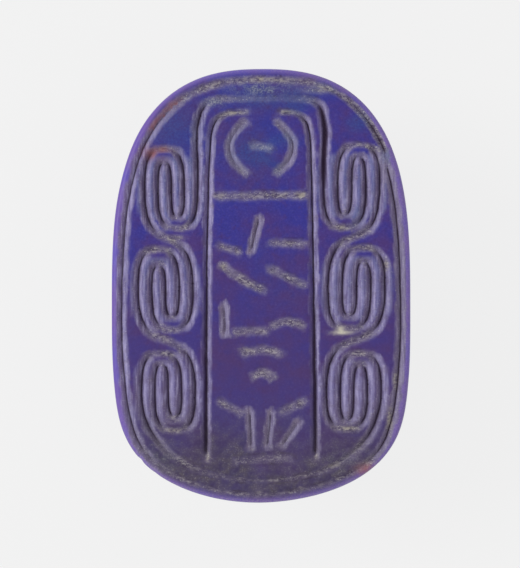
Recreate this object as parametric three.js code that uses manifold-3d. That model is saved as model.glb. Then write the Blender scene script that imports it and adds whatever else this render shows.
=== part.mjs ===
// Scarab amulet in blue stone, lying on its back with the engraved base face up.
// Millimetres, +Z up: +X is the right side of the base face, +Y the beetle's head end, and z = 0 the
// surface that the back rests on. One carved piece, pierced lengthwise for a cord or a ring wire.
import * as THREE from 'three';
import { mergeVertices } from 'three/addons/utils/BufferGeometryUtils.js';
import Module from 'manifold-3d';

// Overall size.
const LENGTH = 20;
const WIDTH = 13.8;
const HEIGHT = 8.8;

// Base plate: its outline is two half superellipses that meet at its widest line.
const WIDEST_Y = -1.35;
const HEAD_END = { across: 2.52, along: 3.24 };
const TAIL_END = { across: 1.93, along: 4.25 };
const PLATE_THICKNESS = 1.3;
const EDGE_ROUND = 0.16;

// Beetle body, from the rim of the wing cases down to the flat spot that it rests on.
const DOME = { halfWidth: 6.35, halfLength: 8.4, power: 2.25, rimZ: 5.5, depth: 5.75 };
const CORE_INSET = 1.2;
const RIM_BAND = 0.45;
const BORE = { radius: 0.8, z: 6.35, sides: 20 };

// Engraved lines of the base face: width at the surface and depth.
const SCROLL_CUT = { width: 0.5, depth: 0.25 };
const FRAME_CUT = { width: 0.46, depth: 0.25 };
const STROKE_CUT = { width: 0.36, depth: 0.14 };
const BACK_CUT = { width: 0.4, depth: 0.22 };

// Scroll border: each scroll is five lines, one pitch apart, that wind in and out again.
const PITCH = 0.626;
const SCROLLS = [
  { x: 4.15, y: 4.5, half: 1.86 },
  { x: 4.39, y: -0.2, half: 1.83 },
  { x: 4.27, y: -4.91, half: 1.76 },
];
const TURN_GAP = 0.58;
const TURN_RISE = 1.25;
// Line between two scrolls: where it lands on the next one, and how long it keeps upright.
const LINK = { landing: 0.6, pull: 0.67 };
const BAND = { x: 2.93, top: 8.58, bendX: 1.9, leanX: 2.6, bendY: 6.9, bottom: -9.0, drop: 1.9, footX: 3.7 };
const MIDDLE_OVERLAP = 0.05;
const BORDER_INSET = 0.58;

// Frame of the middle column, open at the top and the bottom.
const COLUMN = { topX: 2.39, bottomX: 2.55, top: 7.95, bottom: -8.0, corner: 0.95, gap: 0.8 };

const wasm = await Module();
wasm.setup();

// ---- meshes and solids ----

// Closed surface through rings of equal length, with flat ends. Each ring is a list of Vector3, and turns
// counterclockwise as seen from the last ring.
function loft(rings) {
  const count = rings[0].length;
  const position = rings.flat().flatMap((p) => [p.x, p.y, p.z]);
  const index = [];
  for (let r = 0; r + 1 < rings.length; r++) {
    for (let i = 0; i < count; i++) {
      const a = r * count + i;
      const b = r * count + ((i + 1) % count);
      index.push(a, b, b + count, a, b + count, a + count);
    }
  }
  const last = (rings.length - 1) * count;
  for (let i = 1; i + 1 < count; i++) {
    index.push(0, i + 1, i, last, last + i, last + i + 1);
  }
  const geometry = new THREE.BufferGeometry();
  geometry.setAttribute('position', new THREE.Float32BufferAttribute(position, 3));
  geometry.setIndex(index);
  return geometry;
}

function toSolid(geometry) {
  const bare = geometry.clone();
  bare.deleteAttribute('normal');
  bare.deleteAttribute('uv');
  const merged = mergeVertices(bare, 1e-5);
  const solid = new wasm.Manifold(new wasm.Mesh({
    numProp: 3,
    vertProperties: merged.attributes.position.array,
    triVerts: new Uint32Array(merged.index.array),
  }));
  return solid;
}

// Solid that a flat section makes along a run of points, mitred where the run turns. normalAt gives the
// section's up direction.
function sweep(points, normalAt, section) {
  const last = points.length - 1;
  const steps = points.slice(1).map((p, i) => p.clone().sub(points[i]).normalize());
  const rings = points.map((p, i) => {
    const before = steps[Math.max(i - 1, 0)];
    const along = before.clone().add(steps[Math.min(i, last - 1)]).normalize();
    const side = along.clone().cross(normalAt(p)).normalize();
    const up = side.clone().cross(along);
    const mitre = 1 / along.dot(before);
    return section(i / last).map(([u, v]) => (
      p.clone().addScaledVector(side, u * mitre).addScaledVector(up, v)));
  });
  return toSolid(loft(rings));
}

// V section that cuts to its depth and stands a little proud of the surface.
function vSection({ width, depth }, proud = 0.04) {
  const half = (width / 2) * (1 + proud / depth);
  return [[half, proud], [0, -depth], [-half, proud]];
}

const faceUp = () => new THREE.Vector3(0, 0, 1);

// Groove in the base face along flat points.
function faceGroove(points, cut) {
  const raised = points.map((p) => new THREE.Vector3(p.x, p.y, HEIGHT));
  return sweep(raised, faceUp, () => vSection(cut));
}

const mirrored = (points) => points.map((p) => new THREE.Vector2(-p.x, p.y));

// Points of curves laid end to end, each given with its number of steps.
function trace(...parts) {
  return parts.flatMap(([curve, steps], i) => curve.getPoints(steps).slice(i ? 1 : 0));
}

const at = (x, y) => new THREE.Vector2(x, y);
const line = (a, b) => new THREE.LineCurve(a, b);
const bezier = (...p) => new THREE.CubicBezierCurve(...p);

// Half an ellipse between two points of equal height, bulging by rise (up if positive).
function arch(x0, x1, y, rise) {
  const clockwise = (x1 > x0) === (rise > 0);
  const start = x1 > x0 ? Math.PI : 0;
  return new THREE.EllipseCurve((x0 + x1) / 2, y, Math.abs(x1 - x0) / 2, Math.abs(rise),
    start, clockwise ? start - Math.PI : start + Math.PI, clockwise);
}

// ---- base plate ----

// Half width of the base at a given y.
function halfWidth(y) {
  const end = y > WIDEST_Y ? HEAD_END : TAIL_END;
  const reach = y > WIDEST_Y ? LENGTH / 2 - WIDEST_Y : LENGTH / 2 + WIDEST_Y;
  const share = Math.min(Math.abs(y - WIDEST_Y) / reach, 1);
  return (WIDTH / 2) * (1 - share ** end.along) ** (1 / end.across);
}

// Evenly spaced points round the base, moved inwards by inset, counterclockwise.
function outline(count, inset = 0) {
  const dense = [];
  const fine = 360;
  for (let i = 0; i < fine; i++) {
    const angle = (2 * Math.PI * i) / fine;
    const reach = Math.sin(angle) > 0 ? LENGTH / 2 - WIDEST_Y : LENGTH / 2 + WIDEST_Y;
    const y = WIDEST_Y + reach * Math.sin(angle);
    dense.push(at(Math.sign(Math.cos(angle)) * halfWidth(y), y));
  }
  dense.push(dense[0]);
  const spaced = new THREE.Path(dense).getSpacedPoints(count).slice(0, count);
  return spaced.map((p, i) => {
    const before = spaced[(i + count - 1) % count];
    const after = spaced[(i + 1) % count];
    const along = after.clone().sub(before).normalize();
    return at(p.x - along.y * inset, p.y + along.x * inset);
  });
}

const ringAt = (points, z) => points.map((p) => new THREE.Vector3(p.x, p.y, z));

function basePlate() {
  const sides = 88;
  const under = HEIGHT - PLATE_THICKNESS;
  return toSolid(loft([
    ringAt(outline(sides, EDGE_ROUND), under),
    ringAt(outline(sides), under + EDGE_ROUND),
    ringAt(outline(sides), HEIGHT - EDGE_ROUND),
    ringAt(outline(sides, EDGE_ROUND), HEIGHT),
  ]));
}

// ---- beetle body ----

// Ring of the body's plan, a superellipse, at a share of its full size.
function domeRing(share, z, sides) {
  return Array.from({ length: sides }, (_, i) => {
    const angle = (2 * Math.PI * i) / sides;
    const c = Math.cos(angle);
    const s = Math.sin(angle);
    const reach = share / (Math.abs(c) ** DOME.power + Math.abs(s) ** DOME.power) ** (1 / DOME.power);
    return new THREE.Vector3(DOME.halfWidth * reach * c, WIDEST_Y + DOME.halfLength * reach * s, z);
  });
}

// Height of the back at a place in plan.
function domeZ(x, y) {
  const share = (Math.abs(x / DOME.halfWidth) ** DOME.power
    + Math.abs((y - WIDEST_Y) / DOME.halfLength) ** DOME.power) ** (1 / DOME.power);
  return Math.max(0, DOME.rimZ - DOME.depth * Math.sqrt(Math.max(0, 1 - share * share)));
}

function dome() {
  const sides = 60;
  const steps = 9;
  const lowest = Math.asin(DOME.rimZ / DOME.depth);
  const rings = [];
  for (let k = 0; k <= steps; k++) {
    const tilt = lowest * (1 - k / steps);
    rings.push(domeRing(Math.cos(tilt), DOME.rimZ - DOME.depth * Math.sin(tilt), sides));
  }
  rings.push(domeRing(0.97, DOME.rimZ + RIM_BAND, sides));
  return toSolid(loft(rings));
}

// Stone left between the plate and the body, behind the legs.
function core() {
  const sides = 40;
  const foot = DOME.rimZ - 0.6;
  return toSolid(loft([
    ringAt(outline(sides, CORE_INSET), foot),
    ringAt(outline(sides, CORE_INSET), HEIGHT - PLATE_THICKNESS + 0.3),
  ]));
}

// Head: sections along y, each rounded, flattening to the front edge of the shovel.
function head() {
  const sides = 18;
  const stations = [
    { y: 5.2, half: 3.0, low: 2.6, high: 6.6 },
    { y: 6.4, half: 2.9, low: 2.85, high: 6.5 },
    { y: 7.4, half: 2.5, low: 3.25, high: 6.2 },
    { y: 8.1, half: 2.3, low: 3.8, high: 5.8 },
    { y: 8.9, half: 2.1, low: 4.45, high: 5.5 },
    { y: 9.4, half: 1.5, low: 4.8, high: 5.35 },
  ];
  return toSolid(loft(stations.map(({ y, half, low, high }) => (
    Array.from({ length: sides }, (_, i) => {
      const angle = (-2 * Math.PI * i) / sides;
      const square = (v) => Math.sign(v) * Math.abs(v) ** 0.7;
      return new THREE.Vector3(half * square(Math.cos(angle)), y,
        (low + high) / 2 + ((high - low) / 2) * square(Math.sin(angle)));
    })))));
}

function eye(side) {
  const ball = new THREE.SphereGeometry(0.85, 14, 8);
  ball.scale(0.8, 1.15, 0.9);
  ball.translate(side * 2.95, 6.7, 4.35);
  return toSolid(ball);
}

// Legs lie along the side, each through places given as y, z and the distance in from the base's outline.
const FORE_LEG = {
  radius: 0.62,
  places: [[3.0, 5.5, 1.5], [4.6, 6.25, 1.1], [6.4, 6.8, 0.9], [8.0, 6.95, 0.9], [8.9, 7.0, 1.0]],
};
const MIDDLE_LEG = {
  radius: 0.58,
  places: [[2.2, 5.6, 1.3], [0.6, 6.2, 1.0], [-1.4, 6.8, 0.9], [-2.9, 7.1, 0.9]],
};
const HIND_LEG = {
  radius: 0.62,
  places: [[-0.9, 5.5, 1.4], [-3.0, 6.1, 1.0], [-5.6, 6.7, 0.9], [-7.6, 6.95, 0.9], [-8.7, 7.0, 1.0]],
};

function leg({ places, radius }, side) {
  const steps = 12;
  const sides = 10;
  const curve = new THREE.CatmullRomCurve3(places.map(([y, z, inset]) => (
    new THREE.Vector3(side * (halfWidth(y) - inset), y, z))));
  const outwards = (p) => new THREE.Vector3(p.x, 0.25 * p.y, 0).normalize();
  return sweep(curve.getPoints(steps), outwards, (share) => {
    const thick = radius * (1 - 0.3 * share);
    return Array.from({ length: sides }, (_, i) => {
      const angle = (-2 * Math.PI * i) / sides;
      return [thick * Math.cos(angle), thick * Math.sin(angle)];
    });
  });
}

// ---- lines on the back ----

function backNormal(p) {
  const d = 0.05;
  const slope = (dx, dy) => (domeZ(p.x + dx, p.y + dy) - domeZ(p.x - dx, p.y - dy)) / (2 * d);
  return new THREE.Vector3(slope(d, 0), slope(0, d), -1).normalize();
}

function backGroove(flatPoints) {
  const raised = flatPoints.map((p) => new THREE.Vector3(p.x, p.y, domeZ(p.x, p.y)));
  return sweep(raised, backNormal, () => vSection(BACK_CUT, 0.15));
}

// Line between the chest and the wing cases, and line between the two wing cases.
const SHOULDER = { y: 2.1, sweepBack: 1.0, reach: 6.15 };

function backGrooves() {
  const { y, sweepBack, reach } = SHOULDER;
  const seam = bezier(at(-reach, y - sweepBack), at(-2.6, y + 0.35),
    at(2.6, y + 0.35), at(reach, y - sweepBack));
  const middle = line(at(0, y + 0.05), at(0, WIDEST_Y - DOME.halfLength + 0.05));
  return [backGroove(seam.getPoints(18)), backGroove(middle.getPoints(14))];
}

// ---- engraving of the base face ----

// One scroll of the left side, from the line nearest the middle to the line nearest the edge.
function scroll({ x, y, half }) {
  const lane = (n) => -x + n * PITCH;
  const outer = half - TURN_RISE;
  const inner = half - TURN_GAP - PITCH / 2;
  return [
    [arch(lane(2), lane(-1), y - outer, -(half - outer)), 10],
    [line(at(lane(-1), y - outer), at(lane(-1), y + inner)), 1],
    [arch(lane(-1), lane(0), y + inner, half - TURN_GAP - inner), 5],
    [line(at(lane(0), y + inner), at(lane(0), y - inner)), 1],
    [arch(lane(0), lane(1), y - inner, -(half - TURN_GAP - inner)), 5],
    [line(at(lane(1), y - inner), at(lane(1), y + outer)), 1],
    [arch(lane(1), lane(-2), y + outer, half - outer), 10],
  ];
}

// Left half of the scroll border, from the middle of the top to the middle of the bottom.
function scrollBand() {
  const { x: bandX, top, bendX, leanX, bendY, bottom, drop, footX } = BAND;
  let from = at(-bandX, bendY);
  const parts = [
    [line(at(MIDDLE_OVERLAP, top), at(-bendX, top)), 1],
    [bezier(at(-bendX, top), at(-leanX, top), at(-leanX, (top + bendY) / 2), from), 6],
  ];
  SCROLLS.forEach((s, i) => {
    const outer = s.half - TURN_RISE;
    const inX = -s.x + 2 * PITCH;
    const entry = at(inX, s.y - outer);
    if (i === 0) {
      parts.push([line(from, entry), 2]);
    } else {
      const landing = at(inX, s.y + outer * LINK.landing);
      const handle = (from.y - landing.y) * LINK.pull;
      parts.push([bezier(from, at(from.x, from.y - handle), at(inX, landing.y + handle), landing), 9]);
      parts.push([line(landing, entry), 1]);
    }
    parts.push(...scroll(s));
    const outX = -s.x - 2 * PITCH;
    from = at(outX, s.y - outer * LINK.landing);
    parts.push([line(at(outX, s.y + outer), from), 1]);
  });
  parts.push([bezier(from, at(from.x, from.y - drop), at(-footX, bottom), at(MIDDLE_OVERLAP, bottom)), 12]);
  return trace(...parts);
}

function columnLine() {
  const { topX, bottomX, top, bottom, corner, gap } = COLUMN;
  const turn = at(-topX, top - corner);
  return trace(
    [line(at(-gap, top), at(-topX + corner, top)), 1],
    [bezier(at(-topX + corner, top), at(-topX + corner * 0.45, top),
      at(-topX, turn.y + corner * 0.45), turn), 6],
    [line(turn, at(-bottomX, bottom)), 1],
  );
}

// Strokes of the middle column: rows of plain marks that stand for no letters or signs.
const stroke = (x0, y0, x1, y1, bow = 0) => {
  const middle = at((x0 + x1) / 2 - (y1 - y0) * bow, (y0 + y1) / 2 + (x1 - x0) * bow);
  return new THREE.QuadraticBezierCurve(at(x0, y0), middle, at(x1, y1)).getPoints(bow ? 5 : 1);
};

const ROWS = [
  { y: 6.35, marks: (y) => [
    stroke(-0.75, y + 1.15, -0.75, y - 1.15, -0.62),
    stroke(0.75, y + 1.15, 0.75, y - 1.15, 0.62),
    stroke(-0.35, y + 0.1, 0.4, y - 0.05)] },
  { y: 4.1, marks: (y) => [stroke(-2.0, y, 2.0, y + 0.05)] },
  { y: 2.3, marks: (y) => [
    stroke(-0.1, y + 0.75, -0.45, y - 0.7),
    stroke(-1.9, y - 0.5, -1.05, y - 0.75),
    stroke(0.5, y - 0.35, 2.0, y - 0.4)] },
  { y: 0.55, marks: (y) => [
    stroke(-1.75, y + 0.35, 0.1, y - 0.75, -0.1),
    stroke(0.45, y + 0.2, 1.95, y - 0.55)] },
  { y: -1.75, marks: (y) => [
    stroke(-1.7, y + 0.75, -1.65, y - 0.45),
    stroke(-1.15, y - 0.4, 0.2, y - 0.35),
    stroke(0.6, y - 0.1, 1.9, y - 0.1, 0.28)] },
  { y: -3.15, marks: (y) => [stroke(-0.75, y, 0.85, y, 0.2)] },
  { y: -4.9, marks: (y) => [
    stroke(-1.85, y - 0.5, -0.95, y - 0.95),
    stroke(-0.3, y + 0.75, 0.5, y + 0.7, 0.35),
    stroke(0.95, y - 0.95, 1.95, y - 0.45)] },
  { y: -6.7, marks: (y) => [
    stroke(-0.5, y + 0.85, -0.45, y - 0.75),
    stroke(0.45, y + 0.8, 0.3, y - 0.7),
    stroke(1.0, y - 0.65, 1.7, y + 0.35)] },
  { y: -8.0, marks: (y) => [stroke(-1.25, y - 0.1, 1.3, y, 0.03)] },
];

function engraving() {
  const border = outline(85, BORDER_INSET);
  const half = Math.ceil(border.length / 2);
  const closed = [...border, ...border.slice(0, 2)];
  const grooves = [
    faceGroove(closed.slice(0, half + 2), SCROLL_CUT),
    faceGroove(closed.slice(half), SCROLL_CUT),
  ];
  for (const points of [scrollBand(), mirrored(scrollBand())]) {
    grooves.push(faceGroove(points, SCROLL_CUT));
  }
  for (const points of [columnLine(), mirrored(columnLine())]) {
    grooves.push(faceGroove(points, FRAME_CUT));
  }
  for (const row of ROWS) {
    grooves.push(...row.marks(row.y).map((points) => faceGroove(points, STROKE_CUT)));
  }
  return grooves;
}

// Hole for the cord, from head to tail.
function bore() {
  const hole = new THREE.CylinderGeometry(BORE.radius, BORE.radius, LENGTH + 4, BORE.sides);
  hole.translate(0, 0, BORE.z);
  return toSolid(hole);
}

// ---- the amulet ----

function scarab() {
  const added = [dome(), core(), head(), eye(-1), eye(1)];
  for (const side of [-1, 1]) {
    added.push(...[FORE_LEG, MIDDLE_LEG, HIND_LEG].map((shape) => leg(shape, side)));
  }
  const body = added.reduce((whole, piece) => whole.add(piece), basePlate());
  const cuts = [...backGrooves(), ...engraving(), bore()];
  return cuts.reduce((whole, cut) => whole.subtract(cut), body);
}

function toGeometry(solid) {
  const mesh = solid.getMesh();
  const geometry = new THREE.BufferGeometry();
  geometry.setAttribute('position', new THREE.BufferAttribute(mesh.vertProperties, mesh.numProp));
  geometry.setIndex(new THREE.BufferAttribute(mesh.triVerts, 1));
  geometry.computeVertexNormals();
  return geometry;
}

const stone = new THREE.MeshStandardMaterial({ color: 0x463a7c, roughness: 0.35, metalness: 0 });
const amulet = new THREE.Mesh(toGeometry(scarab()), stone);
amulet.name = 'scarab';

const part = new THREE.Group();
part.add(amulet);

export default part;
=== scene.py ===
"""Scarab amulet in lapis lazuli, lying on its back with the engraved base face up.

It is modelled in millimetres in the CAD frame (+Z up, +Y to the beetle's head end) and scaled to metres
at the end. One closed mesh stands for the CAD solid: a finely engraved plate joined to the beetle below
it, with the string hole cut through both.
"""
import math
from itertools import product

import bmesh
import bpy
import numpy as np
from mathutils import Matrix, Vector
from mathutils.geometry import delaunay_2d_cdt


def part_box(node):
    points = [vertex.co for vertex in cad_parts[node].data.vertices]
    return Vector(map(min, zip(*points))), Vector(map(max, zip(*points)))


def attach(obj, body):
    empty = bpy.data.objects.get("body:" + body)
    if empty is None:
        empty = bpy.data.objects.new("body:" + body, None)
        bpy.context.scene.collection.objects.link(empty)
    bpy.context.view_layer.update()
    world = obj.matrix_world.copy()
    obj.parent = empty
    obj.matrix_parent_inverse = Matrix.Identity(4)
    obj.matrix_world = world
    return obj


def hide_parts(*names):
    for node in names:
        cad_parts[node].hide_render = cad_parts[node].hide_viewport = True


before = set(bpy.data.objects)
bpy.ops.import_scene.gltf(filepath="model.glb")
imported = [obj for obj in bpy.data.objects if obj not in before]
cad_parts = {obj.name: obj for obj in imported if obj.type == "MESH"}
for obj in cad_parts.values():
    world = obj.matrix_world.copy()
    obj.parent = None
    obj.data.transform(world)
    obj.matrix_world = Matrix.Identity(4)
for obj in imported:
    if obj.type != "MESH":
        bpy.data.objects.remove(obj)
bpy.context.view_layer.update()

MM = 0.001
PER_MM = 1 / MM
scene = bpy.context.scene

# ---- sizes in mm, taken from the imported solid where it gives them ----

low, high = (np.array(corner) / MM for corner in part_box("scarab"))
HEIGHT = high[2]
HALF_LENGTH = (high[1] - low[1]) / 2
HALF_WIDTH = (high[0] - low[0]) / 2

# Two half superellipses meet at the widest line, each with an exponent across and one along.
WIDEST_Y = -1.35
HEAD_REACH, TAIL_REACH = HALF_LENGTH - WIDEST_Y, HALF_LENGTH + WIDEST_Y
HEAD_END, TAIL_END = (2.52, 3.24), (1.93, 4.25)
PLATE_THICKNESS = 1.3
UNDER = HEIGHT - PLATE_THICKNESS
RIM_ROUND = 0.24
# Keeps the uneven face inside the solid's box.
FACE_DROP = 0.012

DOME_HALF_WIDTH, DOME_HALF_LENGTH, DOME_POWER = 6.35, 8.4, 2.25
DOME_RIM_Z, DOME_DEPTH, RIM_BAND = 5.5, 5.75, 0.45
CORE_INSET, CORE_IN_DOME, CORE_IN_PLATE = 1.2, 0.6, 0.3
BORE_RADIUS, BORE_Z, BORE_FLARE = 0.8, 6.35, 0.12

# Engraved lines: width, depth, the slit's share of the width, and the share of it left on level lines.
SCROLL_CUT = dict(width=0.56, depth=0.3, slit=0.28, level=0.8)
BORDER_CUT = dict(width=0.52, depth=0.22, slit=0.2, level=0.86)
FRAME_CUT = dict(width=0.46, depth=0.29, slit=0.22, level=0.8)
STROKE_CUT = dict(width=0.48, depth=0.15, slit=0.2, level=1.08)
BORDER_INSET = 0.53

# Each scroll: centre x and y, pitch of its lines, and how far its outer and inner turns reach.
LEFT_SCROLLS = [
    dict(x=-4.15, y=4.46, pitch=0.612, outer=1.82, inner_top=1.2, inner_bottom=1.31),
    dict(x=-4.41, y=-0.20, pitch=0.63, outer=1.84, inner_top=1.10, inner_bottom=1.25),
    dict(x=-4.28, y=-4.92, pitch=0.62, outer=1.77, inner_top=1.27, inner_bottom=1.14),
]
RIGHT_SCROLLS = [
    dict(x=4.19, y=4.57, pitch=0.645, outer=1.89, inner_top=1.36, inner_bottom=1.32),
    dict(x=4.41, y=-0.15, pitch=0.658, outer=1.87, inner_top=1.24, inner_bottom=1.26),
    dict(x=4.285, y=-4.88, pitch=0.628, outer=1.74, inner_top=1.17, inner_bottom=1.34),
]
SCROLL_POWER = 2.9
# How flat the line between two scrolls runs in its middle: 0 straight, 1 level.
LINK_PULL = 0.8

# The scroll line's ends, on the right: level at the top, round a corner and a shoulder down beside the
# column, and in one sweep to the middle of the bottom.
BAND_TOP, BAND_BOTTOM = 8.58, -9.0
TOP_STRETCH = 1.9
CORNER_LEFT, CORNER_RIGHT = 2.6, 2.82
CORNER_PULL = (2.84, 8.05)
SHOULDER, SHOULDER_PULL = (2.95, 7.2), (2.98, 6.4)
SWEEP_DROP, SWEEP_X = 2.5, 3.4

# Lines of the column's frame, from the open top down: distances from the middle (about FRAME_X),
# heights, and what pulls the bend outwards.
COLUMN_LEFT = dict(start=0.65, turn=2.31, upper=2.47, lower=2.55, end=2.53)
COLUMN_RIGHT = dict(start=0.95, turn=2.26, upper=2.38, lower=2.43, end=2.52)
COLUMN_Y = dict(start=7.97, turn=6.9, upper=4.9, lower=0.0, end=-7.9)
BEND_PULL = (1.9, 8.02)
TURN_INSET, TURN_PULL_Y = 0.1, 7.7
FRAME_X = 2.45

# Plain strokes that fill the column and stand for no letters or signs: each row's height, then each
# stroke's two ends from there and its bow.
STROKE_ROWS = [
    (6.35, [(-0.75, 1.15, -0.75, -1.15, -0.62), (0.75, 1.15, 0.75, -1.15, 0.62), (-0.35, 0.1, 0.4, -0.05)]),
    (4.1, [(-2.0, 0, 2.0, 0.05)]),
    (2.3, [(-0.1, 0.75, -0.45, -0.7), (-1.9, -0.5, -1.05, -0.75), (0.5, -0.35, 2.0, -0.4)]),
    (0.55, [(-1.75, 0.35, 0.1, -0.75, -0.1), (0.45, 0.2, 1.95, -0.55)]),
    (-1.75, [(-1.7, 0.75, -1.65, -0.45), (-1.15, -0.4, 0.2, -0.35), (0.6, -0.1, 1.9, -0.1, 0.28)]),
    (-3.15, [(-0.75, 0, 0.85, 0, 0.2)]),
    (-4.9, [(-1.85, -0.5, -0.95, -0.95), (-0.3, 0.75, 0.5, 0.7, 0.35), (0.95, -0.95, 1.95, -0.45)]),
    (-6.7, [(-0.5, 0.85, -0.45, -0.75), (0.45, 0.8, 0.3, -0.7), (1.0, -0.65, 1.7, 0.35)]),
    (-8.0, [(-1.25, -0.1, 1.3, 0, 0.03)]),
]

# Hand-cut unevenness and chips of the outline: how far in, then x, y and reach.
OUTLINE_FLAWS = [
    (0.06, -4.5, 8.0, 3.2), (-0.06, -1.5, -9.95, 3.0), (0.06, -6.5, -5.0, 1.8), (0.05, 6.5, -5.0, 1.6),
    (0.03, -5.9, 5.2, 1.4), (0.04, -5.55, -8.05, 0.16), (0.03, -4.95, -8.75, 0.14),
]

# Where the lines are worn: the share of depth lost, x, y and reaches.
WORN_SPOTS = [
    (0.75, 0.1, BAND_TOP, 0.8, 0.3), (0.55, -2.3, BAND_TOP, 0.5, 0.3), (0.45, 0, BAND_TOP, 2.2, 0.3),
    (0.95, 5.7, 5.78, 0.35, 0.36), (0.25, -4.4, -8.0, 0.9, 0.6),
]
# Pits at the two tail corners and where the border line breaks off: strength, x, y and reaches.
PITTED_SPOTS = [(1.0, -4.7, -8.0, 0.9, 0.5), (0.7, 3.9, -8.05, 0.9, 0.45), (0.6, 5.7, 5.78, 0.35, 0.4)]

# Beyond the reach of every cut, in mm or in half widths.
FAR = 9.0


# ---- numbers that vary smoothly in space ----

NOISE_CELLS = 32


def noise(points, size, seed):
    """Smooth noise from -1 to 1 with features about size mm wide."""
    table = np.random.default_rng(seed).uniform(-1, 1, (NOISE_CELLS, NOISE_CELLS, NOISE_CELLS))
    where = np.asarray(points, float) / size
    if where.shape[1] == 2:
        where = np.column_stack([where, np.zeros(len(where))])
    cell = np.floor(where).astype(int)
    part = where - cell
    part = part * part * (3 - 2 * part)
    total = np.zeros(len(where))
    for corner in product((0, 1), repeat=3):
        weight = np.prod(np.where(corner, part, 1 - part), axis=1)
        index = (cell + corner) % NOISE_CELLS
        total += weight * table[index[:, 0], index[:, 1], index[:, 2]]
    return total


def rough(points, size, seed):
    """Noise with two layers of finer noise on it."""
    layers = [noise(points, size / 2 ** k, seed + k) / 2 ** k for k in range(3)]
    return sum(layers) / sum(0.5 ** k for k in range(3))


def ramp(value, start, end):
    """Smooth step from 0 at start to 1 at end."""
    share = np.clip((value - start) / (end - start), 0, 1)
    return share * share * (3 - 2 * share)


def spot(points, x, y, reach_x, reach_y=None):
    """1 at a place, fading to 0 over an oval of the given reach."""
    reach_y = reach_y or reach_x
    far = ((points[:, 0] - x) / reach_x) ** 2 + ((points[:, 1] - y) / reach_y) ** 2
    return np.exp(-far)


def spots(points, places):
    """Sum of spots, each given as its strength, x, y and reach."""
    return sum(strength * spot(points, *place) for strength, *place in places)


# ---- outline of the base ----

OUTLINE_SAMPLES = 4000


def half_width(y):
    y = np.asarray(y, float)
    head = y > WIDEST_Y
    across = np.where(head, HEAD_END[0], TAIL_END[0])
    along = np.where(head, HEAD_END[1], TAIL_END[1])
    reach = np.where(head, HEAD_REACH, TAIL_REACH)
    share = np.minimum(np.abs(y - WIDEST_Y) / reach, 1)
    return HALF_WIDTH * (1 - share ** along) ** (1 / across)


def resample(points, spacing, closed=False):
    """Points at an even spacing along a polyline."""
    points = np.asarray(points, float)
    if closed:
        points = np.vstack([points, points[:1]])
    steps = np.linalg.norm(np.diff(points, axis=0), axis=1)
    run = np.concatenate([[0], np.cumsum(steps)])
    count = max(int(round(run[-1] / spacing)), 2)
    at = np.linspace(0, run[-1], count + 1)
    if closed:
        at = at[:-1]
    return np.column_stack([np.interp(at, run, points[:, k]) for k in range(points.shape[1])])


def directions(points, closed=False):
    """Unit tangents of a polyline."""
    if closed:
        along = np.roll(points, -1, axis=0) - np.roll(points, 1, axis=0)
    else:
        along = np.gradient(points, axis=0)
    return along / np.maximum(np.linalg.norm(along, axis=1, keepdims=True), 1e-12)


def inset(ring, distance):
    """Closed ring moved inwards by one distance, or by one for each point."""
    along = directions(ring, closed=True)
    inwards = np.column_stack([-along[:, 1], along[:, 0]])
    return ring + inwards * np.reshape(distance, (-1, 1))


def base_outline(spacing):
    """Points round the base, counterclockwise from the right."""
    angle = np.linspace(0, 2 * np.pi, OUTLINE_SAMPLES, endpoint=False)
    reach = np.where(np.sin(angle) > 0, HEAD_REACH, TAIL_REACH)
    y = WIDEST_Y + reach * np.sin(angle)
    x = np.sign(np.cos(angle)) * half_width(y)
    ring = resample(np.column_stack([x, y]), spacing, closed=True)
    return inset(ring, spots(ring, OUTLINE_FLAWS))


# ---- paths of the engraved lines ----

def bezier(start, start_pull, end_pull, end, count=40):
    """Points of a cubic curve between two ends, each with the point that pulls it."""
    t = np.linspace(0, 1, count)[:, None]
    a, b, c, d = map(np.array, (start, start_pull, end_pull, end))
    return ((1 - t) ** 3 * a + 3 * (1 - t) ** 2 * t * b + 3 * (1 - t) * t ** 2 * c + t ** 3 * d)


def half_loop(x0, x1, y, rise):
    """Half a superellipse from x0 to x1 at height y, reaching y + rise on the way."""
    angle = np.linspace(0, np.pi, 60)
    across, up = np.cos(angle), np.sin(angle)
    x = (x0 + x1) / 2 - (x1 - x0) / 2 * np.sign(across) * np.abs(across) ** (2 / SCROLL_POWER)
    return np.column_stack([x, y + rise * np.abs(up) ** (2 / SCROLL_POWER)])


def scroll(sizes, side):
    """One scroll, entered on its line nearest the column and left on its line nearest the edge."""
    lane = lambda n: sizes["x"] - side * n * sizes["pitch"]
    turns = [(2, -1, -sizes["outer"]), (-1, 0, sizes["inner_top"]), (0, 1, -sizes["inner_bottom"]),
             (1, -2, sizes["outer"])]
    return [half_loop(lane(first), lane(last), sizes["y"], rise) for first, last, rise in turns]


def mirrored(place, side):
    return (side * place[0], place[1])


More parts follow.
